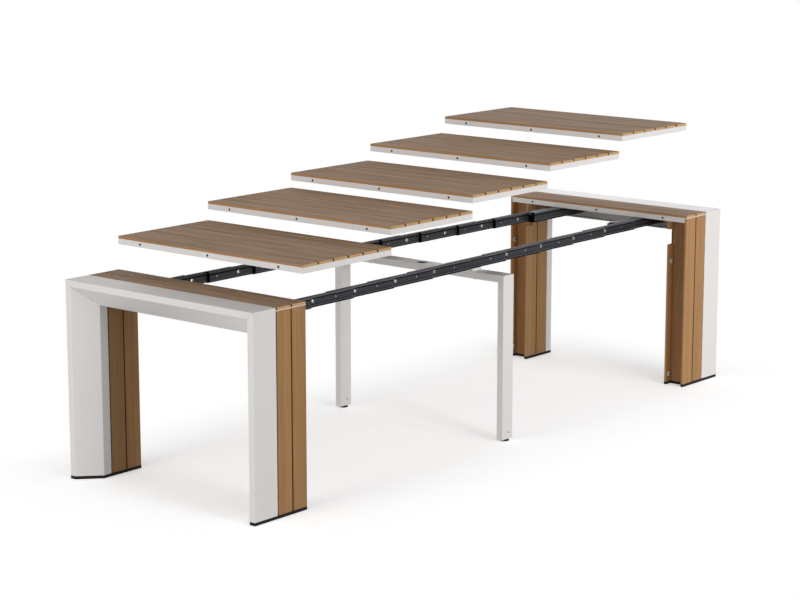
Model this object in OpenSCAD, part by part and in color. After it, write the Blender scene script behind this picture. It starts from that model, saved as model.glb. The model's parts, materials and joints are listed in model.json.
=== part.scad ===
// Extending outdoor dining table: two end arches, two sliding rails of eleven stages,
// a centre support and five loose leaves held above their seats.
// X runs along the table, Y across it, Z up. The origin is on the floor under the middle.

/* [Table] */
// Height of the top above the floor
table_h = 765; // [720:5:800]
// Width of the table, across the leaves
table_w = 960; // [900:10:1060]
// Depth of one end arch, along the table
arch_d = 272; // [264:2:320]
// Gap between the two arches when the table is closed
closed_gap = 2; // [1:0.5:4]
// Gap between parts that are screwed or pressed together
seat = 0.2; // [0.1:0.1:0.3]

/* [End arches] */
// Width of the white end frame, on the top and on the outer faces
end_w = 118; // [100:2:126]
// Width of the flat strip along the outer edge of the end frame
edge_w = 25; // [15:1:40]
// How far the bevel runs back from the outer face
bevel_d = 80; // [60:2:90]
// Thickness of a leg, and depth of the white band over it
leg_t = 98; // [94:1:106]
// Wall of the white extrusions
wall = 3; // [2:0.5:4]
// Wall of the brown leg core
core_wall = 3; // [2:0.5:4]
// Thickness of the boards on the legs
leg_board_t = 9; // [7:0.5:11]
// Thickness of the lip behind the outer board at the leg channel
outer_lip = 2; // [1.5:0.5:4]
// Thickness of the lip behind the inner board at the leg channel
inner_lip = 3; // [2:0.5:5]
// Thickness of the black pad under each leg
pad_t = 12; // [5:1:16]
// Height of the notch that lets the crossbar of the centre support in
notch_h = 68; // [50:2:80]
// Diameter of the bumpers in the leg channels
stud_d = 22; // [16:1:26]
// Thickness of the bumpers in the leg channels
stud_t = 5; // [3:0.5:8]
// Height of the lower bumpers above the pads
stud_rise = 34; // [20:1:80]
// Distance of the upper bumpers below the notch
stud_drop = 75; // [40:1:120]

/* [Boards and top frames] */
// Thickness of the boards on the top
slat_t = 10; // [8:0.5:14]
// Gap between two boards
board_gap = 4; // [2:0.5:6]
// Gap between the white band and the first board
band_gap = 3; // [1:0.5:5]
// Thickness of the lap that closes the bottom of a gap
lap_t = 3; // [2:0.5:5]
// Bevel on the long edges of a board
board_edge = 1; // [0.5:0.1:2]
// Height of the white frame under the top boards
frame_h = 22; // [18:1:30]
// Thickness of the plate between the arch frame and its boards
plate_t = 3; // [2:0.5:5]
// Width of the members of the top frames
bar_w = 26; // [24:1:34]

/* [Leaves] */
// Gap between two leaves laid side by side, before the table is pushed together
leaf_gap = 7; // [5:0.5:10]
// Gap between the leaves and the rails that they lie on
leaf_seat = 0.3; // [0.2:0.1:0.6]
// How far the end of a leaf stays in from the side of the table
leaf_inset = 6; // [2:1:12]
// Boards on one leaf
leaf_boards = 6; // [4:1:8]
// Cross bars in the frame of a leaf
leaf_bars = 3; // [2:1:4]
// Height of each leaf above its seat
leaf_lift = [130, 205, 266, 336, 407]; // [100:1:450]
// How far each leaf is held to the left of its seat
leaf_shift = [13, 21, 28, 20, 5]; // [5:1:40]

/* [Dowels] */
// Diameter of the dowels
dowel_d = 8; // [6:0.5:10]
// How far the tip of a dowel stays short of the next leaf as that is laid
dowel_tip_gap = 3; // [1:0.5:4]
// How deep a dowel sits in its edge
dowel_in = 20; // [12:1:22]
// Distance of the outer dowels from the side of the table
dowel_inset = 125; // [100:5:200]
// Play of a dowel in its socket
socket_play = 1; // [0.5:0.5:2]
// Depth of the sockets
socket_deep = 20; // [10:1:22]

/* [Rails] */
// Travel of each rail stage over the one before it
stage_step = 245; // [230:5:260]
// Length of one rail stage
rail_len = 385; // [360:5:390]
// Height of the rails
rail_h = 45; // [40:1:50]
// Depth of one rail stage, across the table
rail_d = 9; // [8.5:0.1:11]
// Sideways gap between two stages
rail_gap = 0.4; // [0.3:0.1:0.6]
// Distance from the inner face of a leg to the first stage
rail_inset = 50; // [30:2:70]
// Thickness of the web of a rail
web_t = 2.7; // [2:0.1:3]
// Thickness of the flanges of a rail
flange_t = 5.5; // [4.5:0.5:6.5]
// Bevel on the long edges of a rail
rail_edge = 2.5; // [1:0.5:3]
// Height of the lips of a rail
lip_h = 3; // [2:0.5:4]
// Thickness of the lips of a rail
lip_t = 1.5; // [1:0.1:2]
// Clearance of the tongue in the channel of the next stage
run_clear = 0.5; // [0.4:0.1:0.8]
// Diameter of the large hole in a stage
hole_d = 15; // [8:1:17]
// Distance of the large hole from the end of the overlap of two stages
hole_shift = 25; // [15:1:35]
// Diameter of the stop pins
pin_d = 5.5; // [4:0.5:6]
// Diameter of the recess around a stop pin
pin_recess_d = 8; // [7:0.5:10]
// Depth of the recess around a stop pin
pin_recess_t = 2.5; // [1.5:0.5:3]
// Distance of the stop pins from the middle of the overlap of two stages
pin_shift = 25; // [15:1:35]
// Height of the bead along the web of a rail
bead_t = 0.8; // [0.4:0.1:1.2]
// Width of the bead along the web of a rail
bead_w = 11; // [6:1:16]
// Depth of the box along the last stage, across the table
box_d = 25; // [16:1:30]
// Wall of the box along the last stage
box_wall = 2.5; // [1.5:0.5:4]

/* [Centre support] */
// Width of the support tube, along the table
support_w = 66; // [50:2:80]
// Thickness of the support tube
support_t = 28; // [22:1:34]
// Wall of the support tube
support_wall = 2; // [1.5:0.5:3]
// Height of the saddles between the crossbar and the rails
saddle_h = 10.5; // [8:0.5:16]
// Length of the saddles, along the rails
saddle_w = 56; // [40:2:64]
// How far a saddle stands out on each side of its rail
saddle_side = 1; // [0:0.5:6]
// Clearance of the support in the leg channels of the closed table
channel_clear = 1; // [0.5:0.5:3]
// Gap between a levelling foot and the end of its leg
foot_gap = 2; // [1:0.5:8]
// Diameter of the levelling foot
foot_d = 36; // [26:1:40]
// Thickness of the levelling foot
foot_t = 6; // [4:0.5:8]
// Diameter of the screw of the levelling foot
foot_screw_d = 10; // [6:1:12]
// Length of the screw of the levelling foot
foot_screw_l = 50; // [40:1:70]
// Thickness of the plug in the end of a support leg
plug_t = 10; // [6:1:16]
// Clearance of the foot screw in its plug
screw_clear = 0.3; // [0.3:0.1:0.6]
// Diameter of the hole in the middle of the crossbar
crossbar_hole_d = 46; // [20:1:50]
// Diameter of the small holes through the support legs
leg_hole_d = 7; // [4:0.5:10]
// Height of the small holes above the end of the support legs
leg_hole_rise = 26; // [16:1:60]

/* [Hidden] */
$fn = 48;
eps = 0.5;
stages = 11;
last = stages - 1;
leaves = 5;
LEFT = -1;
RIGHT = 1;
NEAR = -1;
FAR = 1;

inner = stage_step*last + closed_gap;
half_l = inner/2 + arch_d;
half_w = table_w/2;
leaf_w = (inner - leaf_gap*(leaves + 1))/leaves;
leaf_l = table_w - 2*leaf_inset;
leaf_pitch = leaf_w + leaf_gap;
deck_t = slat_t + frame_h;
frame_z = table_h - deck_t;
plate_z = table_h - slat_t;
rail_z = frame_z - leaf_seat - rail_h;
rail_step_y = rail_d + rail_gap;
first_x = -(stage_step*last + rail_len)/2;
lip_end = flange_t + lip_h;
channel_y = rail_d - web_t - bead_t;
stem_y = rail_gap + lip_t + run_clear;
head_t = channel_y - lip_t - 2*run_clear;
tongue_y = rail_d + stem_y + head_t;
chan_d = support_w/2 + channel_clear;
chan_in = leg_board_t + outer_lip;
chan_out = leg_t - leg_board_t - inner_lip;
support_top = rail_z - seat - saddle_h;
bar_mid_z = support_top - support_t/2;
board_w = (arch_d - end_w - band_gap - board_gap)/2;
board_u = [end_w + band_gap, arch_d - board_w];
leaf_board_w = (leaf_w - board_gap*(leaf_boards - 1))/leaf_boards;
dowel_z = frame_h/2;
bevel_m = (leg_t - edge_w)/bevel_d;
bevel_q = wall*sqrt(1 + bevel_m*bevel_m);
band_lip = deck_t - 2;
overlap = rail_len - stage_step;
dowel_out = leaf_gap - dowel_tip_gap;
dowel_y = half_w - dowel_inset;
dowel_places = [-dowel_y, 0, dowel_y];
socket_d = dowel_d + socket_play;
rail_y = half_w - leg_t - rail_inset;
support_y = half_w - (chan_in + chan_out)/2;
leg_lift = foot_t + foot_gap;
stud_z = [pad_t + stud_rise, bar_mid_z - notch_h/2 - stud_drop];
stud_screw_d = 7;
leg_hole_x = 8;
foot_rim = 2;
catch_t = 3;
catch_l = 24;
catch_w = 8;
catch_h = 12;
catch_hook = 7;

white = [0.93, 0.92, 0.90];
brown = [0.45, 0.33, 0.22];
wood = [0.60, 0.46, 0.32];
black = [0.10, 0.10, 0.11];
grey = [0.55, 0.55, 0.55];

// Places its children at one end of the table: x becomes the distance from the outer face
module at_end(side) {
    if (side == LEFT) translate([-half_l, 0, 0]) children();
    else mirror([1, 0, 0]) translate([-half_l, 0, 0]) children();
}

// Places its children at one side of the table: y becomes the distance from that side
module at_side(s) {
    if (s == NEAR) translate([0, -half_w, 0]) children();
    else mirror([0, 1, 0]) translate([0, -half_w, 0]) children();
}

// Turns an outline in X and Z into a bar of length l along Y, centred on Y = 0
module bar_along_y(l) {
    rotate([90, 0, 0]) linear_extrude(height = l, center = true) children();
}

// Outline of the end frame: a flat strip at the outer face, then the bevel
module end_outline() {
    polygon([[0, 0], [end_w, 0], [end_w, leg_t], [bevel_d, leg_t], [0, edge_w]]);
}

function bevel_u(t) = (t - edge_w + bevel_q)/bevel_m;
function bevel_t(u) = edge_w + u*bevel_m - bevel_q;

// Block that lies above the mitre between a leg and the top band
module above_mitre() {
    translate([-eps, 0, table_h - seat]) rotate([-45, 0, 0])
        translate([0, -leg_t, 0]) cube([end_w + 2*eps, 4*leg_t, 3*leg_t]);
}

// Block that lies below that mitre
module below_mitre() {
    translate([-eps, 0, table_h]) rotate([-45, 0, 0])
        translate([0, -leg_t, -3*leg_t]) cube([end_w + 2*eps, 4*leg_t, 3*leg_t]);
}

module end_leg(side, s) {
    color(white) at_end(side) at_side(s) difference() {
        translate([0, 0, pad_t + seat]) linear_extrude(height = table_h - pad_t - seat) difference() {
            end_outline();
            polygon([[wall, wall], [end_w - wall, wall], [end_w - wall, leg_t - wall],
                [bevel_u(leg_t - wall), leg_t - wall], [wall, bevel_t(wall)]]);
        }
        above_mitre();
    }
}

// The band over the legs is open on its inner side, where the closed rails go in
module top_band(side) {
    color(white) at_end(side) difference() {
        translate([0, 0, table_h]) mirror([0, 0, 1]) bar_along_y(table_w)
            polygon([[0, 0], [end_w, 0], [end_w, band_lip], [end_w - wall, band_lip],
                [end_w - wall, wall], [wall, wall], [wall, bevel_t(wall)],
                [bevel_u(leg_t - wall), leg_t - wall], [end_w, leg_t - wall],
                [end_w, leg_t], [bevel_d, leg_t], [0, edge_w]]);
        for (s = [NEAR, FAR]) at_side(s) below_mitre();
    }
}

// The core of a leg: a box behind the boards, and a channel open to the other arch
module leg_cores(side) {
    u = end_w + seat;
    channel_u = arch_d - chan_d;
    t0 = leg_board_t + seat;
    t1 = leg_t - leg_board_t - seat;
    z0 = pad_t + seat;
    h = frame_z - seat - z0;
    color(brown) at_end(side) for (s = [NEAR, FAR]) at_side(s) difference() {
        translate([0, 0, z0]) linear_extrude(height = h) difference() {
            translate([u, t0]) square([arch_d - u, t1 - t0]);
            translate([channel_u, chan_in]) square([chan_d + eps, chan_out - chan_in]);
            translate([u + core_wall, t0 + core_wall])
                square([channel_u - u - 2*core_wall, t1 - t0 - 2*core_wall]);
        }
        notch();
    }
}

// Opening in the inner wall of a leg channel for the crossbar of the centre support
module notch() {
    translate([arch_d - chan_d, chan_out - eps, bar_mid_z - notch_h/2])
        cube([chan_d + eps, leg_t, notch_h]);
}

// The white frame under the boards of an arch, closed on top by a thin plate
module top_frame(side) {
    u = end_w + seat;
    w = arch_d - u;
    side_y = half_w - leg_board_t - seat;
    cells = 4;
    cell_l = (2*side_y - bar_w*(cells + 1))/cells;
    color(white) at_end(side) difference() {
        union() {
            translate([u, -side_y, frame_z]) cube([w, 2*side_y, frame_h]);
            translate([u, -half_w, plate_z - plate_t]) cube([w, table_w, plate_t]);
        }
        for (i = [0:cells - 1])
            translate([u + bar_w, -side_y + bar_w + i*(cell_l + bar_w), frame_z - eps])
                cube([w - 2*bar_w, cell_l, frame_h - plate_t + eps]);
        for (y = dowel_places)
            translate([arch_d, y, frame_z + dowel_z]) rotate([0, -90, 0])
                if (side == LEFT) dowel_hole();
                else socket_hole();
    }
}

module dowel_hole() {
    translate([0, 0, -eps]) cylinder(d = dowel_d + 2*seat, h = dowel_in + seat + eps);
}

module socket_hole() {
    translate([0, 0, -eps]) cylinder(d = socket_d, h = socket_deep + eps);
}

// Dowels along an edge: they point along X and stand out of the plane X = 0
module dowel_row() {
    for (y = dowel_places) translate([-dowel_in, y, dowel_z]) rotate([0, 90, 0]) {
        cylinder(d = dowel_d, h = dowel_in + dowel_out - board_edge);
        translate([0, 0, dowel_in + dowel_out - board_edge])
            cylinder(d1 = dowel_d, d2 = dowel_d - 2*board_edge, h = board_edge);
    }
}

module left_dowels() {
    color(grey) at_end(LEFT) translate([arch_d, 0, frame_z]) dowel_row();
}

// A board of the top, of width w and length l; the lap closes the gap to the next one
module deck_board(w, l, lap) {
    t = slat_t - seat;
    lap_w = w + (lap ? board_gap - run_clear : 0);
    bar_along_y(l) polygon([[0, 0], [lap_w, 0], [lap_w, lap_t], [w, lap_t], [w, t - board_edge],
        [w - board_edge, t], [board_edge, t], [0, t - board_edge]]);
}

module top_slats(side) {
    color(wood) at_end(side) for (i = [0, 1])
        translate([board_u[i], 0, plate_z + seat]) deck_board(board_w, table_w, i == 0);
}

// An upright board of a leg, standing at t = 0 and facing the near side
module leg_board(h) {
    linear_extrude(height = h) polygon([[board_edge, 0], [board_w - board_edge, 0],
        [board_w, board_edge], [board_w, leg_board_t], [0, leg_board_t], [0, board_edge]]);
}

module leg_slats(side) {
    z0 = pad_t + seat;
    outer_h = plate_z - plate_t - seat - z0;
    inner_h = frame_z - seat - z0;
    color(wood) at_end(side) for (s = [NEAR, FAR], i = [0, 1]) at_side(s) {
        translate([board_u[i], 0, z0]) leg_board(outer_h);
        difference() {
            translate([board_u[i], leg_t, z0]) mirror([0, 1, 0]) leg_board(inner_h);
            notch();
        }
    }
}

// A black pad under a leg: the outline of the leg, with the channel cut out
module foot_pads(side) {
    color(black) at_end(side) for (s = [NEAR, FAR]) at_side(s)
        linear_extrude(height = pad_t) difference() {
            polygon([[0, 0], [arch_d, 0], [arch_d, leg_t], [bevel_d, leg_t], [0, edge_w]]);
            translate([arch_d - chan_d, chan_in]) square([chan_d + eps, chan_out - chan_in]);
        }
}

// A round bumper with a countersunk screw, standing on the plane Z = 0
module stud() {
    difference() {
        union() {
            cylinder(d = stud_d, h = stud_t/2);
            translate([0, 0, stud_t/2])
                cylinder(d1 = stud_d, d2 = stud_d - stud_t, h = stud_t/2);
        }
        translate([0, 0, stud_t/2]) cylinder(d = stud_screw_d, h = stud_t);
    }
}

module studs(side) {
    color(grey) at_end(side) for (s = [NEAR, FAR], z = stud_z) at_side(s) {
        translate([arch_d - chan_d/2, chan_in + seat, z]) rotate([-90, 0, 0]) stud();
        translate([arch_d - chan_d/2, chan_out - seat, z]) rotate([90, 0, 0]) stud();
    }
}

// Section of a rail stage: a channel with lips, open to the side of the table
module rail_outline() {
    web = rail_d - web_t;
    mid = rail_h/2;
    bead = bead_w/2;
    polygon([[rail_edge, 0], [rail_d - rail_edge, 0], [rail_d, rail_edge],
        [rail_d, rail_h - rail_edge], [rail_d - rail_edge, rail_h], [rail_edge, rail_h],
        [0, rail_h - rail_edge], [0, rail_h - lip_end], [lip_t, rail_h - lip_end],
        [lip_t, rail_h - flange_t], [web, rail_h - flange_t], [web, mid + bead],
        [channel_y, mid + bead - bead_t], [channel_y, mid - bead + bead_t],
        [web, mid - bead], [web, flange_t], [lip_t, flange_t], [lip_t, lip_end],
        [0, lip_end], [0, rail_edge]]);
}

// The tongue on the other side of that section: a T that slides in the next channel
module tongue_outline() {
    stem_h = rail_h - 2*(lip_end + run_clear);
    head_h = rail_h - 2*(flange_t + run_clear);
    translate([rail_d - eps, (rail_h - stem_h)/2]) square([stem_y + 2*eps, stem_h]);
    translate([rail_d + stem_y, (rail_h - head_h)/2]) square([head_t, head_h]);
}

// Section of the box that stiffens the last stage, and the hollow inside it
module box_outline() {
    translate([rail_d - eps, 0]) square([box_d + eps, rail_h]);
}

module box_hollow() {
    translate([rail_d, box_wall]) square([box_d - box_wall, rail_h - 2*box_wall]);
}

// Places its children at stage i of a rail, at its left end, outer face and bottom
module at_stage(s, i) {
    from_middle(s) translate([first_x + i*stage_step, i*rail_step_y - rail_y, rail_z]) children();
}

// Stage i of a rail: stage 0 is fixed to the left arch and the last to the right one
module rail(s, i) {
    open = i != last/2 && i < last;
    color(black) at_stage(s, i) {
        difference() {
            union() {
                along_x(rail_len) rail_outline();
                if (i < last) along_x(rail_len - seat) tongue_outline();
                else along_x(rail_len) box_outline();
            }
            if (i == last) translate([box_wall, 0, 0]) along_x(rail_len) box_hollow();
            if (open) rail_bore(overlap + hole_shift, -eps, hole_d, 3*rail_d);
            if (i < last) pin_places() rail_bore(0, 0, pin_recess_d, pin_recess_t);
        }
        if (i < last) pin_places() rail_bore(0, seat, pin_d, pin_recess_t - 2*seat);
    }
}

// The two stop pins of a stage: one in its channel, one in its tongue
module pin_places() {
    x = overlap/2 - pin_shift;
    translate([x + stage_step, channel_y, 0]) children();
    translate([x, tongue_y, 0]) mirror([0, 1, 0]) children();
}

// Mirrors its children to the far half of the table
module from_middle(s) {
    if (s == NEAR) children();
    else mirror([0, 1, 0]) children();
}

// Turns an outline in Y and Z into a bar of length l along X
module along_x(l) {
    rotate([90, 0, 90]) linear_extrude(height = l) children();
}

// A round bore or pin along Y, at half the height of a rail
module rail_bore(x, y, d, l) {
    translate([x, y, rail_h/2]) rotate([-90, 0, 0]) cylinder(d = d, h = l);
}

// A small hook on the end of the box of the last stage, under the rail's top
module rail_catches() {
    color(black) for (s = [NEAR, FAR]) at_stage(s, last)
        translate([-seat, rail_d + box_d/2, rail_h]) bar_along_y(catch_w)
            polygon([[0, 0], [0, -catch_h], [-catch_t, -catch_h], [-catch_t, -catch_t],
                [catch_t - catch_l, -catch_t], [catch_t - catch_l, -catch_hook],
                [-catch_l, -catch_hook], [-catch_l, 0]]);
}

function leaf_x(k) = (k - (leaves + 1)/2)*leaf_pitch - leaf_shift[k - 1];
function leaf_z(k) = frame_z + leaf_lift[k - 1];

// Places its children at leaf k: the origin is under the middle of the leaf
module at_leaf(k) {
    translate([leaf_x(k), 0, leaf_z(k)]) children();
}

// The white frame of a leaf: long sides, ends, cross bars and a middle bar
module leaf_frame(k) {
    cell_x = (leaf_w - 3*bar_w)/2;
    cell_y = (leaf_l - bar_w*(leaf_bars + 2))/(leaf_bars + 1);
    color(white) at_leaf(k) difference() {
        translate([-leaf_w/2, -leaf_l/2, 0]) cube([leaf_w, leaf_l, frame_h]);
        for (i = [0, 1], j = [0:leaf_bars])
            translate([-leaf_w/2 + bar_w + i*(cell_x + bar_w),
                -leaf_l/2 + bar_w + j*(cell_y + bar_w), -eps])
                cube([cell_x, cell_y, frame_h + 2*eps]);
        for (y = dowel_places) {
            translate([leaf_w/2, y, dowel_z]) rotate([0, -90, 0]) dowel_hole();
            translate([-leaf_w/2, y, dowel_z]) rotate([0, 90, 0]) socket_hole();
        }
    }
}

module leaf_slats(k) {
    color(wood) at_leaf(k) for (i = [1:leaf_boards])
        translate([-leaf_w/2 + (i - 1)*(leaf_board_w + board_gap), 0, frame_h + seat])
            deck_board(leaf_board_w, leaf_l, i < leaf_boards);
}

module leaf_dowels(k) {
    color(grey) at_leaf(k) translate([leaf_w/2, 0, 0]) dowel_row();
}

// The centre support: a welded frame of flat tube with a saddle under each rail
module centre_frame() {
    out_y = support_y + support_t/2;
    saddle_y = rail_y - last/2*rail_step_y - rail_d/2;
    saddle_d = rail_d + 2*saddle_side;
    w = support_wall;
    color(white) difference() {
        union() {
            translate([-support_w/2, -out_y, support_top - support_t])
                cube([support_w, 2*out_y, support_t]);
            for (s = [NEAR, FAR]) {
                translate([-support_w/2, s*support_y - support_t/2, leg_lift])
                    cube([support_w, support_t, support_top - leg_lift]);
                translate([-saddle_w/2, s*saddle_y - saddle_d/2, support_top - eps])
                    cube([saddle_w, saddle_d, saddle_h + eps]);
            }
        }
        translate([-support_w/2 + w, -out_y + w, support_top - support_t + w])
            cube([support_w - 2*w, 2*out_y - 2*w, support_t - 2*w]);
        for (s = [NEAR, FAR]) translate([0, s*support_y, 0]) {
            translate([-support_w/2 + w, -support_t/2 + w, leg_lift + plug_t])
                cube([support_w - 2*w, support_t - 2*w, support_top - w - leg_lift - plug_t]);
            cylinder(d = foot_screw_d + 2*screw_clear, h = leg_lift + plug_t + eps);
            translate([leg_hole_x, -support_t, leg_lift + leg_hole_rise]) rotate([-90, 0, 0])
                cylinder(d = leg_hole_d, h = 2*support_t);
        }
        translate([0, 0, support_top - w - eps]) cylinder(d = crossbar_hole_d, h = w + 2*eps);
    }
}

// A levelling foot: a round disc on a screw that turns in the plug of the leg
module centre_foot(s) {
    color(black) translate([0, s*support_y, 0]) {
        cylinder(d = foot_d, h = foot_t - foot_rim);
        translate([0, 0, foot_t - foot_rim])
            cylinder(d1 = foot_d, d2 = foot_d - 3*foot_rim, h = foot_rim);
        cylinder(d = foot_screw_d, h = foot_screw_l);
    }
}

for (side = [LEFT, RIGHT]) {
    name = side == LEFT ? "left_" : "right_";
    end_leg(side, NEAR);
    end_leg(side, FAR);
    top_band(side);
    leg_cores(side);
    top_frame(side);
    top_slats(side);
    leg_slats(side);
    foot_pads(side);
    studs(side);
}
left_dowels();
for (i = [0:last]) {
    rail(NEAR, i);
    rail(FAR, i);
}
rail_catches();
for (k = [1:leaves]) {
    leaf_frame(k);
    leaf_slats(k);
    leaf_dowels(k);
}
centre_frame();
centre_foot(NEAR);  // centre_foot_near
centre_foot(FAR);  // centre_foot_far
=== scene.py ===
"""Finishes every piece of an extending outdoor dining table and sets up its studio."""
import json
import random
from functools import cache
from math import cos, inf, pi, radians, sin

import bmesh
import bpy
from bpy.props import FloatProperty, FloatVectorProperty, IntProperty, PointerProperty
from mathutils import Matrix, Vector

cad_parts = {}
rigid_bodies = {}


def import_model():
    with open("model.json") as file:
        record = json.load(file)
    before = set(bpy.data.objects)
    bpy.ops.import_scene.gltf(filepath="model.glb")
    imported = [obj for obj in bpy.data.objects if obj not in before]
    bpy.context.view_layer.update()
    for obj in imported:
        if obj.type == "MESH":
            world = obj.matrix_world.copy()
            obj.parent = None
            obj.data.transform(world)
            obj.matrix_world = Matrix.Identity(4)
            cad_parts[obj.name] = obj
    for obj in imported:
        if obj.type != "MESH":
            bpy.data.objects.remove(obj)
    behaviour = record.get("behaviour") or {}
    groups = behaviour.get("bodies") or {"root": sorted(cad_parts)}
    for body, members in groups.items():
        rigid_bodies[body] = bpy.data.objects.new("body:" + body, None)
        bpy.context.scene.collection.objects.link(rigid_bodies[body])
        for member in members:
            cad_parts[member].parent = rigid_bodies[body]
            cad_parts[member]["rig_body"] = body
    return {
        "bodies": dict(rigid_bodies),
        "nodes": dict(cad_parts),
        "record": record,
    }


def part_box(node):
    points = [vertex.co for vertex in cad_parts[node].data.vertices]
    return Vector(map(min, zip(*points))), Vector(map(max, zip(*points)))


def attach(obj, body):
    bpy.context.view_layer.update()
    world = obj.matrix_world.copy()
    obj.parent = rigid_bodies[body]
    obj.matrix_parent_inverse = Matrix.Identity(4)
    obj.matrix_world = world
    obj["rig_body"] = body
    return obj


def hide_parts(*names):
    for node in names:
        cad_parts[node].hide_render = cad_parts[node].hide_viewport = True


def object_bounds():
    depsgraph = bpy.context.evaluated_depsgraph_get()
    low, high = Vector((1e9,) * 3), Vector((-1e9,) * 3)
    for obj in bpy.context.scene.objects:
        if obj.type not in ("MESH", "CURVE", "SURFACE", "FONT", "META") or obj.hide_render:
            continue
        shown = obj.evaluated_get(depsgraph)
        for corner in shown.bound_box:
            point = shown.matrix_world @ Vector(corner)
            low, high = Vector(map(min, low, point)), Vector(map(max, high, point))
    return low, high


bl_info = {
    "name": "Extending Outdoor Table",
    "version": (1, 0, 0),
    "blender": (4, 5, 0),
    "location": "View3D > Sidebar > Table",
    "description": "Finishes the pieces of an extending outdoor table and sets up its studio",
    "category": "Object",
}

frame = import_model()
CAD_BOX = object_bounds()
NODES = frame["nodes"]
SIDES = ("left", "right")
RAILS = ("near", "far")
LEAVES = sorted(body for body in frame["bodies"] if body.startswith("leaf_"))
TOPS = [side + "_top" for side in SIDES] + LEAVES
STAGES = sum(node.startswith("near_rail_") for node in NODES)
MIDDLE_STAGE = (STAGES + 1) // 2


class EdgeSettings(bpy.types.PropertyGroup):
    """Radii of the edges of the pieces"""
    extrusion: FloatProperty(
        name="White extrusions", description="Edge radius of the white end frames",
        default=0.0016, unit="LENGTH")
    board: FloatProperty(
        name="Boards", description="Edge radius of the boards", default=0.0013, unit="LENGTH")
    tube: FloatProperty(
        name="Frames", description="Edge radius of the leaf frames and of the arch frames",
        default=0.0012, unit="LENGTH")
    support: FloatProperty(
        name="Centre support", description="Edge radius of the centre support",
        default=0.002, unit="LENGTH")
    core: FloatProperty(
        name="Leg cores", description="Edge radius of the leg cores",
        default=0.0006, unit="LENGTH")
    rail: FloatProperty(
        name="Rails", description="Edge radius of the rail stages", default=0.0004, unit="LENGTH")
    moulding: FloatProperty(
        name="Mouldings", description="Edge radius of the pads, feet, bumpers and dowels",
        default=0.0006, unit="LENGTH")
    segments: IntProperty(
        name="Segments", description="Faces across a rounded edge", default=3, min=1, max=6)


class FinishSettings(bpy.types.PropertyGroup):
    """Colours of the finishes"""
    white: FloatVectorProperty(
        name="White coat", description="Powder coat of the white pieces",
        default=(0.70, 0.673, 0.657), size=3, subtype="COLOR")
    white_shade: FloatVectorProperty(
        name="White coat, darker", description="Tone that the white coat drifts to",
        default=(0.665, 0.637, 0.62), size=3, subtype="COLOR")
    board_side: FloatVectorProperty(
        name="Board", description="Upright boards and the edges of the deck boards",
        default=(0.40, 0.215, 0.088), size=3, subtype="COLOR")
    board_dark: FloatVectorProperty(
        name="Board, dark grain", description="Dark streaks of the boards",
        default=(0.27, 0.14, 0.052), size=3, subtype="COLOR")
    board_top: FloatVectorProperty(
        name="Board top", description="Brushed upper face of the deck boards",
        default=(0.42, 0.277, 0.162), size=3, subtype="COLOR")
    board_top_dark: FloatVectorProperty(
        name="Board top, dark grain", description="Dark streaks of the upper faces",
        default=(0.2, 0.123, 0.064), size=3, subtype="COLOR")
    board_top_red: FloatVectorProperty(
        name="Board top, red streaks", description="Reddish streaks of the upper faces",
        default=(0.39, 0.2, 0.14), size=3, subtype="COLOR")
    board_end: FloatVectorProperty(
        name="Board end", description="Sawn ends of the boards",
        default=(0.50, 0.30, 0.12), size=3, subtype="COLOR")
    # Painted shade inside the gaps between the boards
    board_gap_shade: FloatVectorProperty(
        name="Board gap", description="Dark faces inside the gaps between boards",
        default=(0.014, 0.008, 0.004), size=3, subtype="COLOR")
    core: FloatVectorProperty(
        name="Leg core", description="Brown coat of the leg cores",
        default=(0.31, 0.15, 0.055), size=3, subtype="COLOR")
    black: FloatVectorProperty(
        name="Rail", description="Black coat of the rails",
        default=(0.012, 0.012, 0.018), size=3, subtype="COLOR")
    # Wear of the rails, and the painted highlights on their lips
    wear_and_highlight: FloatVectorProperty(
        name="Rail, worn", description="Rail coat where the stages rub",
        default=(0.12, 0.12, 0.13), size=3, subtype="COLOR")
    # Painted shade in the rail channels and on the stage ends
    grease: FloatVectorProperty(
        name="Rail, greased", description="Dark grease in the channels and on the rail ends",
        default=(0.004, 0.004, 0.005), size=3, subtype="COLOR")
    pad: FloatVectorProperty(
        name="Pad", description="Moulded pads and feet under the legs, and the bumper screws",
        default=(0.007, 0.007, 0.0075), size=3, subtype="COLOR")
    bumper: FloatVectorProperty(
        name="Bumper", description="Moulded bumpers and dowels",
        default=(0.34, 0.32, 0.29), size=3, subtype="COLOR")
    zinc: FloatVectorProperty(
        name="Zinc", description="Zinc plate of the pins and bolts, and bare metal in the holes",
        default=(0.62, 0.62, 0.63), size=3, subtype="COLOR")
    # Painted shade inside the sockets
    socket_shade: FloatVectorProperty(
        name="Socket", description="Dark inside of the sockets",
        default=(0.006, 0.005, 0.005), size=3, subtype="COLOR")


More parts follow.
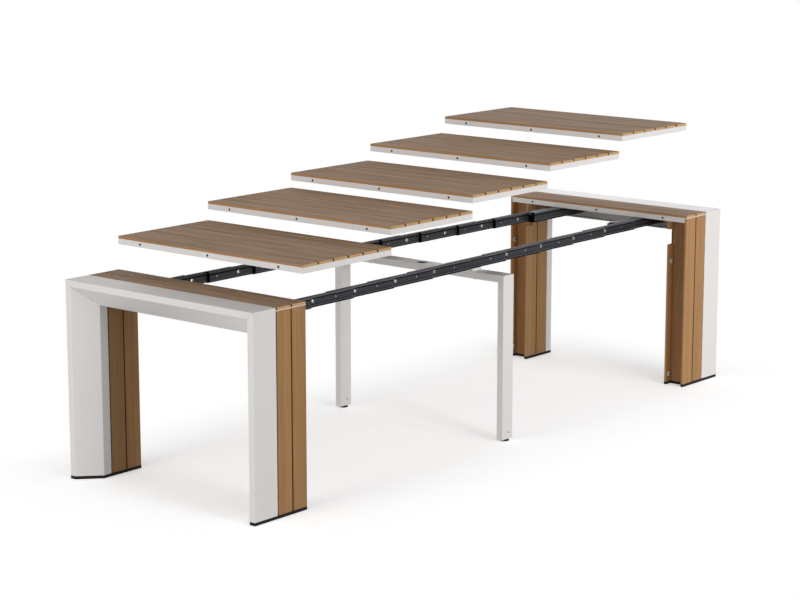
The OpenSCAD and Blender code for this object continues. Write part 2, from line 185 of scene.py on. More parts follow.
class StudioSettings(bpy.types.PropertyGroup):
    """Camera, lamps and floor"""
    camera_place: FloatVectorProperty(
        name="Camera place", description="Where the camera stands",
        default=(-6.995, -5.776, 2.339), size=3, subtype="TRANSLATION", unit="LENGTH")
    azimuth: FloatProperty(
        name="Azimuth", description="Turn of the camera about the vertical",
        default=radians(-49.888), subtype="ANGLE")
    elevation: FloatProperty(
        name="Elevation", description="How far the camera looks down",
        default=radians(11.345), subtype="ANGLE")
    lens: FloatProperty(
        name="Lens", description="Focal length in millimetres", default=101.66, unit="CAMERA")
    world: FloatProperty(
        name="Room light", description="Strength of the light from all round", default=0.4)
    key: FloatProperty(
        name="Key light", description="Power of the lamp beside the left arch, in watts",
        default=234.0, unit="POWER")
    side: FloatProperty(
        name="Side light", description="Power of the lamp beside the right arch, in watts",
        default=12.5, unit="POWER")
    fill: FloatProperty(
        name="Fill light", description="Power of the lamp at the end of the table, in watts",
        default=285.0, unit="POWER")
    rim: FloatProperty(
        name="Rim light", description="Power of the lamp behind the right arch, in watts",
        default=1.1, unit="POWER")
    floor: FloatVectorProperty(
        name="Floor", description="Colour of the floor", default=(0.62, 0.62, 0.62), size=3,
        subtype="COLOR")


class Value:
    """A socket of a shader tree. Arithmetic on it adds Math nodes."""

    def __init__(self, shader, socket):
        self.shader, self.socket = shader, socket

    def math(self, operation, a, b):
        return self.shader.node("ShaderNodeMath", {"operation": operation}, {0: a, 1: b})

    def __add__(self, other):
        return self.math("ADD", self, other)

    def __mul__(self, other):
        return self.math("MULTIPLY", self, other)

    def __sub__(self, other):
        return self.math("SUBTRACT", self, other)

    def __rsub__(self, other):
        return self.math("SUBTRACT", other, self)

    __radd__ = __add__
    __rmul__ = __mul__


class Shader:
    """The node tree of a new material or world"""

    def __init__(self, block):
        block.use_nodes = True
        self.block, self.tree = block, block.node_tree

    def plug(self, socket, value):
        """Links a value to a socket, or sets the socket to a plain number or colour"""
        if isinstance(value, Value):
            self.tree.links.new(value.socket, socket)
        else:
            socket.default_value = value

    def node(self, kind, settings=None, inputs=None, output=0):
        """Adds a node, and gives the value of one of its outputs"""
        made = self.tree.nodes.new(kind)
        for name, value in (settings or {}).items():
            setattr(made, name, value)
        for name, value in (inputs or {}).items():
            self.plug(made.inputs[name], value)
        return Value(self, made.outputs[output])

    def put(self, **values):
        """Feeds the sockets of the Principled BSDF"""
        surface = self.tree.nodes["Principled BSDF"]
        for name, value in values.items():
            self.plug(surface.inputs[name.replace("_", " ")], value)

    def place(self, stretch):
        """The place on the piece, stretched along each axis"""
        point = self.node("ShaderNodeTexCoord", output="Object")
        return self.node("ShaderNodeVectorMath", {"operation": "MULTIPLY"}, {0: point, 1: stretch})

    def noise(self, scale, seed=0.0, detail=3.0):
        """Cloudy values round 0.5. The scale is in clouds to the metre, for all axes or each."""
        stretch = scale if isinstance(scale, tuple) else (scale, scale, scale)
        return self.node("ShaderNodeTexNoise", {"noise_dimensions": "4D"},
                         {"Vector": self.place(stretch), "W": seed, "Scale": 1.0, "Detail": detail})

    def ramp(self, value, low, high):
        """0 below low, 1 above high"""
        return self.node("ShaderNodeMapRange", {"clamp": True},
                         {"Value": value, "From Min": low, "From Max": high})

    def length(self, vector):
        return self.node("ShaderNodeVectorMath", {"operation": "LENGTH"}, {0: vector}, 1)

    def mix(self, factor, a, b):
        """Colour a where the factor is 0, colour b where it is 1"""
        a, b = (c if isinstance(c, Value) else (*c, 1.0) for c in (a, b))
        return self.node("ShaderNodeMix", {"data_type": "RGBA"}, {0: factor, 6: a, 7: b}, 2)

    def mark(self, name):
        """A number kept on the faces or points of the mesh"""
        return self.node("ShaderNodeAttribute", {"attribute_name": name}, output="Fac")

    def bump(self, height, distance, strength):
        return self.node("ShaderNodeBump", inputs={
            "Height": height, "Distance": distance, "Strength": strength})


@cache
def powder_coat():
    """White powder coat with a fine orange peel, and painted shade inside the sockets"""
    colours = bpy.context.scene.table_finish
    s = Shader(bpy.data.materials.new("white_powder_coat"))
    cloud = s.noise(2.2, detail=4.0)
    speck = s.noise(900, detail=2.0)
    peel = s.noise(330, detail=1.0)
    shade = s.ramp(cloud, 0.35, 0.7) * 0.5 + s.ramp(speck, 0.55, 0.75) * 0.18
    coat = s.mix(shade, colours.white, colours.white_shade)
    # Painted shade inside the sockets
    s.put(Base_Color=s.mix(s.mark("socket"), coat, colours.socket_shade),
          Roughness=0.285 + cloud * 0.08 + s.mark("edge") * 0.04,
          Normal=s.bump(peel * 0.7 + speck * 0.3, 0.00012, 0.6))
    return s.block


# Share of the painted shade in the gaps between leg boards
LEG_GAP_SHADE = 0.75
# Depth below the top at which the painted shade in a gap of the deck starts, and is full
GAP_DEPTH = (0.002, 0.0045)
# Distances from the ends of the boards at which the painted shade in a gap starts to reach
# right up to the top, and reaches it fully
GAP_END = (0.018, 0.01)


def painted_gap_shade(s, along):
    """Painted shade in the gaps between boards that run along an axis, and 0 outside the gaps"""
    gap = s.mark("gap")
    if along == "z":
        return gap * LEG_GAP_SHADE
    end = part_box("leaf_1_slats")[1].y
    across = s.length(s.place((0, 1, 0)))
    near_end = s.ramp(across, end - GAP_END[0], end - GAP_END[1])
    deep = s.ramp(s.mark("depth"), *GAP_DEPTH)
    return gap * (1 - (1 - deep) * (1 - near_end))


@cache
def composite_board(along):
    """Wood composite, brushed along the board. Each board has its own tone and grain, and the gaps
    between the boards get painted shade.
    """
    colours = bpy.context.scene.table_finish
    s = Shader(bpy.data.materials.new("composite_board_" + along))

    def brushed(scale, length=0.012):
        return tuple(scale * (length if axis == along else 1.0) for axis in "xyz")

    tone = s.mark("tone")
    seed = tone * 30.0
    band = s.noise(brushed(55), seed)
    line = s.noise(brushed(420), seed, 4.0)
    hair = s.noise(brushed(1500), seed, 2.0)
    cloud = s.noise(3.0, seed)
    grain = s.ramp(line, 0.42, 0.68) * 0.55 + s.ramp(band, 0.35, 0.7) * 0.45
    grain = grain + (cloud - 0.5) * 0.35 + (tone - 0.5) * 0.22
    side = s.mix(grain, colours.board_side, colours.board_dark)

    streak = s.ramp(s.noise(brushed(120, 0.03), seed + 3.0), 0.44, 0.64)
    red = s.noise(brushed(85, 0.03), seed + 7.0, 2.0)
    top = s.mix(grain * 0.45 + streak * 0.7, colours.board_top, colours.board_top_dark)
    top = s.mix(s.ramp(red, 0.5, 0.64) * 0.65, top, colours.board_top_red)

    pore = s.noise(1400, seed, 2.0)
    sawn = s.mix(s.ramp(pore, 0.5, 0.7) * 0.3, colours.board_end, colours.board_side)

    face = s.mix(s.mark("end"), s.mix(s.mark("top"), side, top), sawn)
    # Painted shade in the gaps between the boards
    gap = painted_gap_shade(s, along)
    s.put(Base_Color=s.mix(gap, face, colours.board_gap_shade),
          Roughness=0.52 + line * 0.18 + cloud * 0.06 + s.mark("top") * streak * 0.06 + gap * 0.2,
          Normal=s.bump(line * 0.6 + hair * 0.4, 0.00035, 0.55),
          Specular_IOR_Level=0.3)
    return s.block


@cache
def core_coat():
    """Brown coat with faint upright streaks"""
    colours = bpy.context.scene.table_finish
    s = Shader(bpy.data.materials.new("brown_core_coat"))
    streak = s.noise((260, 260, 4), detail=4.0)
    cloud = s.noise(5)
    dark = [c * 0.62 for c in colours.core]
    s.put(Base_Color=s.mix(s.ramp(streak, 0.38, 0.7) * 0.6 + cloud * 0.25, colours.core, dark),
          Roughness=0.46 + streak * 0.16,
          Normal=s.bump(streak, 0.0002, 0.4),
          Specular_IOR_Level=0.25)
    return s.block


@cache
def rail_coat():
    """Black coat with wear, painted lip highlights, painted shade in channels and ends, bare large
    holes
    """
    colours = bpy.context.scene.table_finish
    s = Shader(bpy.data.materials.new("black_rail_coat"))
    rub = s.noise((12, 900, 900))
    cloud = s.noise(9, detail=4.0)
    speck = s.noise(700, detail=2.0)
    # Random wear streaks, lighter rounded edges, and painted highlights on the bands of the lips
    wear_and_highlight = s.ramp(rub + cloud * 0.25, 0.72, 0.9) * 0.35 + s.mark("edge") * 0.4
    wear_and_highlight = wear_and_highlight + s.mark("rub") * (0.45 + s.ramp(rub, 0.45, 0.7) * 0.4)
    # Painted shade: near-black in the channels and on the stage ends, and metallic there so that it
    # has no sheen either
    grease, bare = s.mark("grease"), s.mark("bare")
    coat = s.mix(grease, s.mix(wear_and_highlight, colours.black, colours.wear_and_highlight), colours.grease)
    s.put(Base_Color=s.mix(bare, coat, colours.zinc),
          Metallic=grease * (1 - bare),
          Roughness=0.36 + cloud * 0.2 - wear_and_highlight * 0.08 + grease * 0.3,
          Normal=s.bump(speck * 0.5 + rub * 0.5, 0.00008, 0.5),
          Specular_IOR_Level=0.35)
    return s.block


@cache
def moulding(name, roughness, gloss):
    """Moulded plastic in the colour of that name, with a painted highlight along its edges"""
    colour = getattr(bpy.context.scene.table_finish, name)
    s = Shader(bpy.data.materials.new(name + "_moulding"))
    light = [min(1.0, c * 1.35 + 0.006) for c in colour]
    grain = s.noise(800)
    cloud = s.noise(14)
    # Random cloudy tone, and a painted highlight on the rounded edges
    s.put(Base_Color=s.mix(cloud * 0.5 + s.mark("edge") * 0.3, colour, light),
          Roughness=roughness + grain * 0.15,
          Normal=s.bump(grain, 0.0001, 0.5),
          Specular_IOR_Level=gloss)
    return s.block


@cache
def zinc_plate():
    """Zinc plate with a cloudy dull tone"""
    colours = bpy.context.scene.table_finish
    s = Shader(bpy.data.materials.new("zinc_plate"))
    cloud = s.noise(60, detail=4.0)
    dull = [c * 0.72 for c in colours.zinc]
    s.put(Base_Color=s.mix(cloud, colours.zinc, dull),
          Roughness=0.29 + cloud * 0.2,
          Normal=s.bump(s.noise(900), 0.00004, 0.5),
          Metallic=1.0)
    return s.block


# Colour, roughness and gloss of the two mouldings
PAD = ("pad", 0.75, 0.2)
BUMPER = ("bumper", 0.4, 0.4)
# Turned fasteners: the radius and height of each ring, and its number of flats, 0 where round
SCREW = ((0.003, -0.002, 0), (0.0049, -0.0002, 0), (0.005, 0.0001, 0), (0.0047, 0.0003, 0),
         (0.0024, 0.0003, 6), (0.0023, -0.0012, 6))
BOLT = ((0.0085, 0.0, 0), (0.0085, 0.0012, 0), (0.008, 0.0014, 0), (0.0065, 0.0014, 6),
        (0.0065, 0.0062, 6), (0.006, 0.0066, 6), (0.0042, 0.0066, 0), (0.004, 0.0085, 0),
        (0.0033, 0.0092, 0))
TURNED_SIDES = 24
# From the lower edge of the rails down to the underside of the crossbar, where the bolts sit
BOLT_DROP = 0.0387
# Painted light and shade on the boards of some nodes, added to their tone: they are darker
# above 0 and lighter below it
PAINTED_LIGHT_TONE = {"left_leg_slats": 1.3, "left_top_slats": 1.3, "right_top_slats": -0.8,
         "leaf_5_slats": 0.5}
# Faces that meet at less than FLAT are one face. Outer edges above SHARP are rounded, and
# edges that are still above it stay sharp in the shading.
FLAT = radians(1.0)
SHARP = radians(38.0)
# Points of a node's mesh that are nearer to each other than this are joined
WELD = 2e-5
# Points nearer to the plane of a cut than this count as lying on it
CUT_REACH = 5e-6
# How far a unit normal reaches along an axis: straight along it, partly, hardly or barely
STRAIGHT, PARTLY, HARDLY, BARELY = 0.8, 0.5, 0.3, 0.2
# Solids of a rail stage that are smaller than this are its stop pins
PIN_SIZE = 0.012
# Bands of a rail stage, measured down from its top: painted shade under the upper lip and on
# the lower lip, and painted highlights on the lips
RAIL_SHADE_BANDS = ((0.0086, 0.0145), (0.039, 0.0451))
RAIL_HIGHLIGHT_BANDS = ((-0.0001, 0.0086), (0.0365, 0.039))
# Level faces this near the top or the bottom of a rail stage are on its outer edges
RAIL_EDGE = 0.003
# Length of the painted shadow at the low end of a rail stage
RAIL_END_SHADE = 0.006
# The large hole of a rail stage: its place from the low end, and its radius with a margin
RAIL_HOLE = (0.165, 0.0078)
# How far the painted shade of a gap reaches onto the ends of the boards beside it
NOTCH = 0.0029
# Faces less than this below the top of the deck boards can belong to their upper faces
BOARD_TOP = 0.004
# Faces this near a side of the boards that is in view aren't in a gap
BOARD_SIDE = 0.002
# How much painted shade the rounded edges of a gap get
GAP_EDGE_SHADE = 0.7
# Least and most area of the floor of a socket, and how far from the middle of that floor the
# faces of the socket lie at most, across it and along it
SOCKET_AREA = (4e-5, 9e-5)
SOCKET_REACH = 0.0048
SOCKET_DEPTH = 0.04


def islands(bm):
    """The faces of each separate solid in the mesh"""
    left = set(bm.faces)
    for first in bm.faces:
        if first not in left:
            continue
        found, todo = [], [first]
        left.discard(first)
        while todo:
            face = todo.pop()
            found.append(face)
            for edge in face.edges:
                for other in edge.link_faces:
                    if other in left:
                        left.discard(other)
                        todo.append(other)
        yield found


def extent(faces):
    """Lowest and highest corner of the box round a group of faces"""
    points = [vert.co for face in faces for vert in face.verts]
    return [Vector([pick(p[i] for p in points) for i in range(3)]) for pick in (min, max)]


def frame_middle(node):
    """Middle of a node at rest"""
    low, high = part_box(node)
    return (low + high) / 2


def slot_of(node):
    """Material slot of a node in the record"""
    return next(p["material_slot"] for p in frame["record"]["subparts"] if p["node"] == node)


def mark_faces(bm, name, value):
    """Keeps a number on each face: value is a function of the face"""
    layer = bm.faces.layers.float.new(name)
    for face in bm.faces:
        face[layer] = value(face)


def mark_depth(bm):
    """Keeps on each point how far it lies below the top of the piece"""
    layer = bm.verts.layers.float.new("depth")
    top = max(vert.co.z for vert in bm.verts)
    for vert in bm.verts:
        vert[layer] = top - vert.co.z


def mark_solids(bm, node, pins):
    """Gives each solid of a node its own tone, and the stop pins the second material"""
    tone = bm.faces.layers.float.new("tone")
    draw = random.Random(node)
    for solid in islands(bm):
        # Random tone, plus the painted light and shade of the node
        value = draw.random() + PAINTED_LIGHT_TONE.get(node, 0.0)
        low, high = extent(solid)
        is_pin = pins and max(high - low) < PIN_SIZE
        for face in solid:
            face[tone] = value
            face.material_index = int(is_pin)


def settle(bm, name, material, node, marks=None):
    """Turns the mesh into a piece that moves with the body of a node"""
    for mark, value in (marks or {}).items():
        mark_faces(bm, mark, value)
    for face in bm.faces:
        face.smooth = True
    for edge in bm.edges:
        if edge.is_manifold and edge.calc_face_angle() > SHARP:
            edge.smooth = False
    mesh = bpy.data.meshes.new(name)
    bm.to_mesh(mesh)
    bm.free()
    piece = bpy.data.objects.new(name, mesh)
    bpy.context.scene.collection.objects.link(piece)
    mesh.materials.append(material)
    weighted = piece.modifiers.new("even_faces", "WEIGHTED_NORMAL")
    weighted.keep_sharp = True
    weighted.weight = 100
    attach(piece, NODES[node]["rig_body"])
    return piece


def node_mesh(node):
    """The shape of a node with each flat side as one face"""
    bm = bmesh.new()
    bm.from_mesh(NODES[node].data)
    bmesh.ops.remove_doubles(bm, verts=bm.verts, dist=WELD)
    bmesh.ops.dissolve_limit(bm, angle_limit=FLAT, verts=bm.verts, edges=bm.edges)
    return bm


def soften(bm, radius, sharp_below):
    """Rounds the outer edges, apart from those that lie below a height, and marks the new faces"""
    edge = bm.faces.layers.float.new("edge")
    outer = [e for e in bm.edges if e.is_manifold and e.calc_face_angle_signed() > SHARP
             and max(vert.co.z for vert in e.verts) > sharp_below]
    made = bmesh.ops.bevel(
        bm, geom=outer, offset=radius, offset_type="OFFSET", affect="EDGES", profile=0.5,
        segments=bpy.context.scene.table_edges.segments, clamp_overlap=True, loop_slide=True)
    for face in made["faces"]:
        face[edge] = 1.0


def cut(bm, axis, places):
    """Cuts the mesh across an axis at each place, for marks that change there"""
    normal = Vector([float(i == axis) for i in range(3)])
    for place in places:
        bmesh.ops.bisect_plane(
            bm, geom=[*bm.verts, *bm.edges, *bm.faces], dist=CUT_REACH,
            plane_co=normal * place, plane_no=normal)


def rounded(node, radius, material, marks=None, pin=None, cuts=None, stands=False):
    """Makes a copy of a node with rounded edges, which takes the node's place.
    Where it stands on a pad, its lowest edges stay sharp."""
    bm = node_mesh(node)
    low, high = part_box(node)
    mark_solids(bm, node, pin is not None)
    soften(bm, radius, low.z + WELD if stands else -inf)
    for vert in bm.verts:
        vert.co = [min(max(c, a), b) for c, a, b in zip(vert.co, low, high)]
    for axis, places in (cuts or {}).items():
        cut(bm, axis, places)
    if marks and "gap" in marks:
        mark_depth(bm)
    piece = settle(bm, node + "_finished", material, node, marks)
    if pin:
        piece.data.materials.append(pin)
    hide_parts(node)
    slot_of(node)


def board_marks(node, axis):
    """Marks the ends of boards that run along an axis, their tops, and the painted shade in the
    gaps between them
    """
    low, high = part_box(node)
    shown = {"left": (high.x,), "right": (low.x,)}.get(node.split("_")[0], (low.x, high.x))
    deck = axis == 1
    top = high.z - BOARD_TOP if deck else inf

    def in_view(face, reach):
        """Whether a face is near a side of the boards that is in view, where there is no gap"""
        return any(abs(face.calc_center_median().x - x) < reach for x in shown)

    def notch(face):
        """Whether a face is on the end of a deck board, right beside a gap"""
        start, stop = extent([face])
        narrow = stop.x - start.x < NOTCH
        return deck and narrow and abs(face.normal.y) > BARELY and not in_view(face, NOTCH)

    def between(face):
        """How much painted shade a face gets, from 0 outside the gaps to 1 inside them"""
        under = deck and face.normal.z > STRAIGHT and face.calc_center_median().z < top
        if under or notch(face):
            return 1.0
        upright = abs(face.normal.z) < HARDLY
        sideways = abs(face.normal.x) >= (BARELY if upright else HARDLY)
        if not sideways or in_view(face, BOARD_SIDE):
            return 0.0
        return 1.0 if upright else GAP_EDGE_SHADE

    return {
        "end": lambda face: float(abs(face.normal[axis]) > STRAIGHT),
        "top": lambda face: float(face.normal.z > PARTLY and face.calc_center_median().z > top),
        "gap": between,
    }


def notches(node):
    """Places beside the gaps between boards, where the painted shade on their ends begins"""
    bm, places = node_mesh(node), []
    for solid in islands(bm):
        low, high = extent(solid)
        places += [low.x + NOTCH, high.x - NOTCH]
    bm.free()
    return places


def rail_marks(node):
    """Marks the painted shade, the painted lip highlights and the bare large hole of a rail stage
    """
    low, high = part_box(node)
    hole = Vector((low.x + RAIL_HOLE[0], (low.z + high.z) / 2))

    def in_bands(face, bands):
        return any(a < high.z - face.calc_center_median().z < b for a, b in bands)

    # Painted shade on the stage ends, in the channel, in the bands by the lips and at the low end
    def in_rail_painted_shade(face):
        at, normal = face.calc_center_median(), face.normal
        inner = abs(normal.z) > STRAIGHT and low.z + RAIL_EDGE < at.z < high.z - RAIL_EDGE
        return float(abs(normal.x) > STRAIGHT or inner or in_bands(face, RAIL_SHADE_BANDS)
                     or at.x < low.x + RAIL_END_SHADE)

    def bare(face):
        away = (face.calc_center_median().xz - hole).length
        return float(away < RAIL_HOLE[1] and abs(face.normal.y) < PARTLY)

    return {
        "grease": in_rail_painted_shade,
        # Painted highlights on the bands of the lips
        "rub": lambda face: float(in_bands(face, RAIL_HIGHLIGHT_BANDS)),
        "bare": bare,
    }


def socket_marks(node):
    """Marks the faces inside the round sockets of a frame, which get painted shade"""
    least, most = SOCKET_AREA
    bm = node_mesh(node)
    floors = [face.calc_center_median() for face in bm.faces
              if abs(face.normal.x) > STRAIGHT and least < face.calc_area() < most]
    bm.free()

    def inside(face):
        at = face.calc_center_median()
        return float(face.calc_area() < most and any(
            (at.yz - floor.yz).length < SOCKET_REACH and abs(at.x - floor.x) < SOCKET_DEPTH
            for floor in floors))

    return {"socket": inside}


def turned(name, rings, material, node, turn, place):
    """Makes a turned piece that moves with a node. Each ring has a radius, a height and flats."""
    bm = bmesh.new()
    loops = []
    for radius, height, flats in rings:
        loop = []
        for i in range(TURNED_SIDES):
            angle = 2 * pi * i / TURNED_SIDES
            reach = radius
            if flats:
                part = 2 * pi / flats
                reach = radius / cos((angle + part / 2) % part - part / 2)
            loop.append(bm.verts.new((reach * cos(angle), reach * sin(angle), height)))
        loops.append(loop)
    for low, high in zip(loops, loops[1:]):
        for i in range(TURNED_SIDES):
            j = (i + 1) % TURNED_SIDES
            bm.faces.new((low[i], low[j], high[j], high[i]))
    bm.faces.new(loops[-1])
    bm.faces.new(loops[0][::-1])
    bm.transform(Matrix.Translation(place) @ turn)
    bm.normal_update()
    settle(bm, name, material, node)


class TABLE_OT_end_frames(bpy.types.Operator):
    """White extrusions of the two arches, with a mitre at each corner"""
    bl_idname = "table.end_frames"
    bl_label = "End frames"
    bl_options = {"REGISTER", "UNDO"}

    def execute(self, context):
        radius = context.scene.table_edges.extrusion
        for side in SIDES:
            for piece in ("leg_near", "leg_far", "top_band"):
                rounded(f"{side}_{piece}", radius, powder_coat(), stands=piece.startswith("leg"))
        return {"FINISHED"}


class TABLE_OT_leg_cores(bpy.types.Operator):
    """Brown cores behind the boards of the legs"""
    bl_idname = "table.leg_cores"
    bl_label = "Leg cores"
    bl_options = {"REGISTER", "UNDO"}

    def execute(self, context):
        for side in SIDES:
            rounded(side + "_leg_cores", context.scene.table_edges.core, core_coat())
        return {"FINISHED"}


class TABLE_OT_top_frames(bpy.types.Operator):
    """White frames under the boards of the arches and of the leaves"""
    bl_idname = "table.top_frames"
    bl_label = "Top frames"
    bl_options = {"REGISTER", "UNDO"}

    def execute(self, context):
        for top in TOPS:
            node = top + "_frame"
            rounded(node, context.scene.table_edges.tube, powder_coat(), socket_marks(node))
        return {"FINISHED"}


class TABLE_OT_deck_boards(bpy.types.Operator):
    """Boards of the top"""
    bl_idname = "table.deck_boards"
    bl_label = "Deck boards"
    bl_options = {"REGISTER", "UNDO"}

    def execute(self, context):
        for top in TOPS:
            node = top + "_slats"
            rounded(node, context.scene.table_edges.board, composite_board("y"),
                    board_marks(node, 1), cuts={0: notches(node)})
        return {"FINISHED"}


class TABLE_OT_leg_boards(bpy.types.Operator):
    """Upright boards of the legs"""
    bl_idname = "table.leg_boards"
    bl_label = "Leg boards"
    bl_options = {"REGISTER", "UNDO"}

    def execute(self, context):
        for side in SIDES:
            node = side + "_leg_slats"
            rounded(node, context.scene.table_edges.board, composite_board("z"),
                    board_marks(node, 2))
        return {"FINISHED"}


class TABLE_OT_mouldings(bpy.types.Operator):
    """Black pads, grey bumpers and dowels"""
    bl_idname = "table.mouldings"
    bl_label = "Pads, bumpers and dowels"
    bl_options = {"REGISTER", "UNDO"}

    def execute(self, context):
        radius = context.scene.table_edges.moulding
        for side in SIDES:
            rounded(side + "_foot_pads", radius, moulding(*PAD))
            rounded(side + "_studs", radius, moulding(*BUMPER))
        for name in ["left"] + LEAVES:
            rounded(name + "_dowels", radius, moulding(*BUMPER))
        return {"FINISHED"}


class TABLE_OT_rails(bpy.types.Operator):
    """Telescopic stages of the two rails, and their catches"""
    bl_idname = "table.rails"
    bl_label = "Rails"
    bl_options = {"REGISTER", "UNDO"}

    def execute(self, context):
        radius = context.scene.table_edges.rail
        downs = {down for band in RAIL_SHADE_BANDS + RAIL_HIGHLIGHT_BANDS for down in band}
        for side in RAILS:
            for stage in range(1, STAGES + 1):
                node = f"{side}_rail_{stage}"
                low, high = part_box(node)
                cuts = {0: [low.x + RAIL_END_SHADE], 2: sorted(high.z - down for down in downs)}
                rounded(node, radius, rail_coat(), rail_marks(node), zinc_plate(), cuts)
        rounded("rail_catches", radius, rail_coat())
        return {"FINISHED"}


class TABLE_OT_centre_support(bpy.types.Operator):
    """White centre support and its levelling feet"""
    bl_idname = "table.centre_support"
    bl_label = "Centre support"
    bl_options = {"REGISTER", "UNDO"}

    def execute(self, context):
        edges = context.scene.table_edges
        rounded("centre_frame", edges.support, powder_coat())
        for side in RAILS:
            rounded("centre_foot_" + side, edges.moulding, moulding(*PAD))
        return {"FINISHED"}


class TABLE_OT_fasteners(bpy.types.Operator):
    """Screws of the bumpers, and the bolts that hold the rails to the centre support"""
    bl_idname = "table.fasteners"
    bl_label = "Screws and bolts"
    bl_options = {"REGISTER", "UNDO"}

    def execute(self, context):
        self.bumper_screws()
        self.rail_bolts()
        return {"FINISHED"}

    @staticmethod
    def bumper_screws():
        """A screw in each bumper, on the face that looks into the leg channel"""
        channel = abs(frame_middle("centre_foot_near").y)
        for side in SIDES:
            node = side + "_studs"
            bm = node_mesh(node)
            for i, solid in enumerate(islands(bm)):
                low, high = extent(solid)
                at = (low + high) / 2
                inward = 1.0 if (abs(at.y) < channel) == (at.y > 0) else -1.0
                at.y += inward * (high.y - low.y) / 2
                turn = Matrix.Rotation(-inward * pi / 2, 4, "X")
                turned(f"{side}_bumper_screw_{i + 1}", SCREW, moulding(*PAD), node, turn, at)
            bm.free()

    @staticmethod
    def rail_bolts():
        """A bolt under the crossbar below each rail"""
        under = Matrix.Rotation(pi, 4, "X")
        for side in RAILS:
            node = f"{side}_rail_{MIDDLE_STAGE}"
            at = Vector((0.0, frame_middle(node).y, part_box(node)[0].z - BOLT_DROP))
            turned(side + "_rail_bolt", BOLT, zinc_plate(), "centre_frame", under, at)


# Places that the lamps aim at
TABLE_MIDDLE = (0.0, 0.0, 0.5)
RIGHT_ARCH = (1.6, 0.0, 0.5)
RIGHT_TOP = (1.4, 0.0, 0.77)
# Place, aim, width and height, and spread of each lamp. Its power is a setting of its name.
LAMPS = {
    "key": ((-1.6, -7.4, 1.7), TABLE_MIDDLE, (2.2, 2.6), pi),
    "side": ((1.8, -7.5, 1.7), RIGHT_ARCH, (3.0, 2.6), radians(36.0)),
    "fill": ((-8.5, 0.5, 1.3), TABLE_MIDDLE, (4.0, 2.4), pi),
    "rim": ((5.2, 2.7, 1.4), RIGHT_TOP, (2.4, 1.2), radians(50.0)),
}
# Half the width of the floor
FLOOR_REACH = 60.0
# Glow of the floor under the table, and the distance over which it fades to white beside it
FLOOR_GLOW = 0.41
FLOOR_FADE = 0.4
# Width of the camera's sensor in millimetres
SENSOR_WIDTH = 36.0


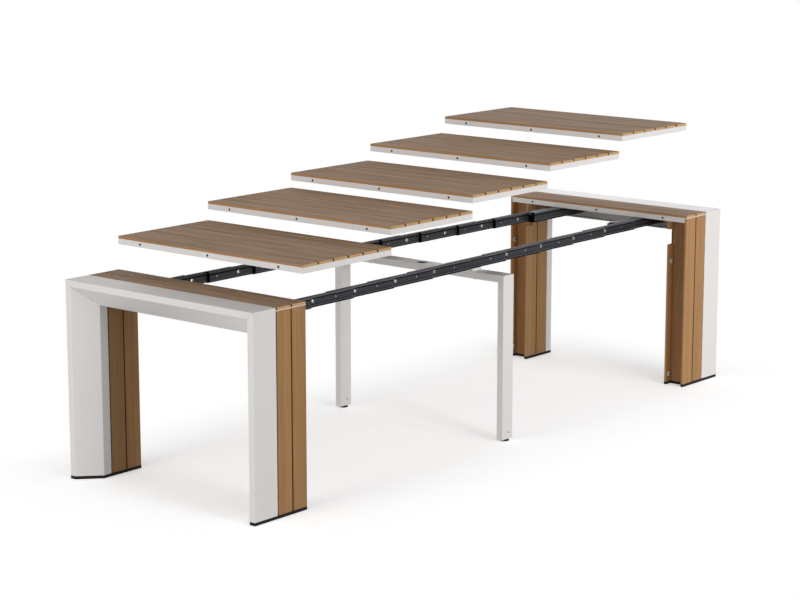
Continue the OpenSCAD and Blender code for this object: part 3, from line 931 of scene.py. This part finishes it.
class TABLE_OT_studio(bpy.types.Operator):
    """Floor, lamps and camera"""
    bl_idname = "table.studio"
    bl_label = "Studio"
    bl_options = {"REGISTER", "UNDO"}

    def execute(self, context):
        settings = context.scene.table_studio
        self.floor(settings)
        self.room(context.scene, settings)
        for name in LAMPS:
            self.lamp(name, getattr(settings, name))
        self.camera(context.scene, settings)
        return {"FINISHED"}

    @staticmethod
    def seen_ray(shader):
        """1 on rays that come from the camera, a reflection or a clear piece"""
        path = shader.node("ShaderNodeLightPath", output="Is Camera Ray")
        outputs = path.socket.node.outputs
        return (path + Value(shader, outputs["Is Glossy Ray"])
                + Value(shader, outputs["Is Transmission Ray"]))

    def floor(self, settings):
        """Pale floor that shows white, with the shadow kept under the table"""
        bm = bmesh.new()
        bmesh.ops.create_grid(bm, x_segments=2, y_segments=2, size=FLOOR_REACH)
        mesh = bpy.data.meshes.new("floor")
        bm.to_mesh(mesh)
        bm.free()
        floor = bpy.data.objects.new("floor", mesh)
        bpy.context.scene.collection.objects.link(floor)
        mesh.materials.append(self.floor_finish(settings))

    def floor_finish(self, settings):
        """A plain floor to other light, and white to what sees it"""
        s = Shader(bpy.data.materials.new("studio_floor"))
        s.tree.nodes.remove(s.tree.nodes["Principled BSDF"])
        plain = s.node("ShaderNodeBsdfDiffuse", inputs={"Color": (*settings.floor, 1.0)})
        shadowed = s.node("ShaderNodeBsdfDiffuse", inputs={"Color": (1.0, 1.0, 1.0, 1.0)})
        light = s.node("ShaderNodeEmission", inputs={"Strength": FLOOR_GLOW})
        under = s.node("ShaderNodeAddShader", inputs={0: shadowed, 1: light})
        beside = s.node("ShaderNodeEmission", inputs={"Strength": 1.0})
        low, high = CAD_BOX
        half = [(b - a) / 2 for a, b in zip(low, high)]
        place = s.node("ShaderNodeVectorMath", {"operation": "ABSOLUTE"}, {0: s.place((1, 1, 0))})
        past = s.node("ShaderNodeVectorMath", {"operation": "SUBTRACT"}, {0: place, 1: half})
        past = s.node("ShaderNodeVectorMath", {"operation": "MAXIMUM"}, {0: past, 1: (0, 0, 0)})
        faded = s.ramp(s.length(past), 0.0, FLOOR_FADE)
        white = s.node("ShaderNodeMixShader", inputs={0: faded, 1: under, 2: beside})
        shown = s.node("ShaderNodeMixShader", inputs={0: self.seen_ray(s), 1: plain, 2: white})
        s.plug(s.tree.nodes["Material Output"].inputs["Surface"], shown)
        return s.block

    def room(self, scene, settings):
        """Even light from all round, shown as white"""
        s = Shader(bpy.data.worlds.new("room"))
        scene.world = s.block
        background = s.tree.nodes["Background"]
        s.plug(background.inputs["Color"], (1.0, 1.0, 1.0, 1.0))
        s.plug(background.inputs["Strength"],
               settings.world + self.seen_ray(s) * (1.0 - settings.world))

    @staticmethod
    def lamp(name, power):
        place, aim, size, spread = LAMPS[name]
        light = bpy.data.lights.new(name, "AREA")
        light.shape, light.energy, light.spread = "RECTANGLE", power, spread
        light.size, light.size_y = size
        lamp = bpy.data.objects.new(name, light)
        lamp.location = place
        lamp.rotation_euler = (Vector(place) - Vector(aim)).to_track_quat("Z", "Y").to_euler()
        bpy.context.scene.collection.objects.link(lamp)

    @staticmethod
    def camera(scene, settings):
        data = bpy.data.cameras.new("camera")
        data.lens, data.sensor_width = settings.lens, SENSOR_WIDTH
        camera = bpy.data.objects.new("camera", data)
        camera.location = settings.camera_place
        camera.rotation_euler = (pi / 2 - settings.elevation, 0.0, settings.azimuth)
        scene.collection.objects.link(camera)
        scene.camera = camera
        scene.view_settings.view_transform = "Standard"


PIECES = (
    TABLE_OT_end_frames, TABLE_OT_leg_cores, TABLE_OT_top_frames, TABLE_OT_deck_boards,
    TABLE_OT_leg_boards, TABLE_OT_mouldings, TABLE_OT_rails, TABLE_OT_centre_support,
    TABLE_OT_fasteners, TABLE_OT_studio)


class TABLE_PT_panel(bpy.types.Panel):
    """Sizes, colours and pieces of the table"""
    bl_label = "Extending Table"
    bl_idname = "TABLE_PT_panel"
    bl_space_type = "VIEW_3D"
    bl_region_type = "UI"
    bl_category = "Table"

    def draw(self, context):
        scene = context.scene
        for group in (scene.table_edges, scene.table_finish, scene.table_studio):
            for name in group.__annotations__:
                self.layout.prop(group, name)
        for operator in PIECES:
            self.layout.operator(operator.bl_idname)


CLASSES = (EdgeSettings, FinishSettings, StudioSettings, *PIECES, TABLE_PT_panel)


def register():
    for item in CLASSES:
        bpy.utils.register_class(item)
    bpy.types.Scene.table_edges = PointerProperty(type=EdgeSettings)
    bpy.types.Scene.table_finish = PointerProperty(type=FinishSettings)
    bpy.types.Scene.table_studio = PointerProperty(type=StudioSettings)


def unregister():
    for name in ("table_edges", "table_finish", "table_studio"):
        delattr(bpy.types.Scene, name)
    for item in reversed(CLASSES):
        bpy.utils.unregister_class(item)


def main():
    register()
    for operator in PIECES:
        group, name = operator.bl_idname.split(".")
        getattr(getattr(bpy.ops, group), name)()


if __name__ == "__main__":
    main()
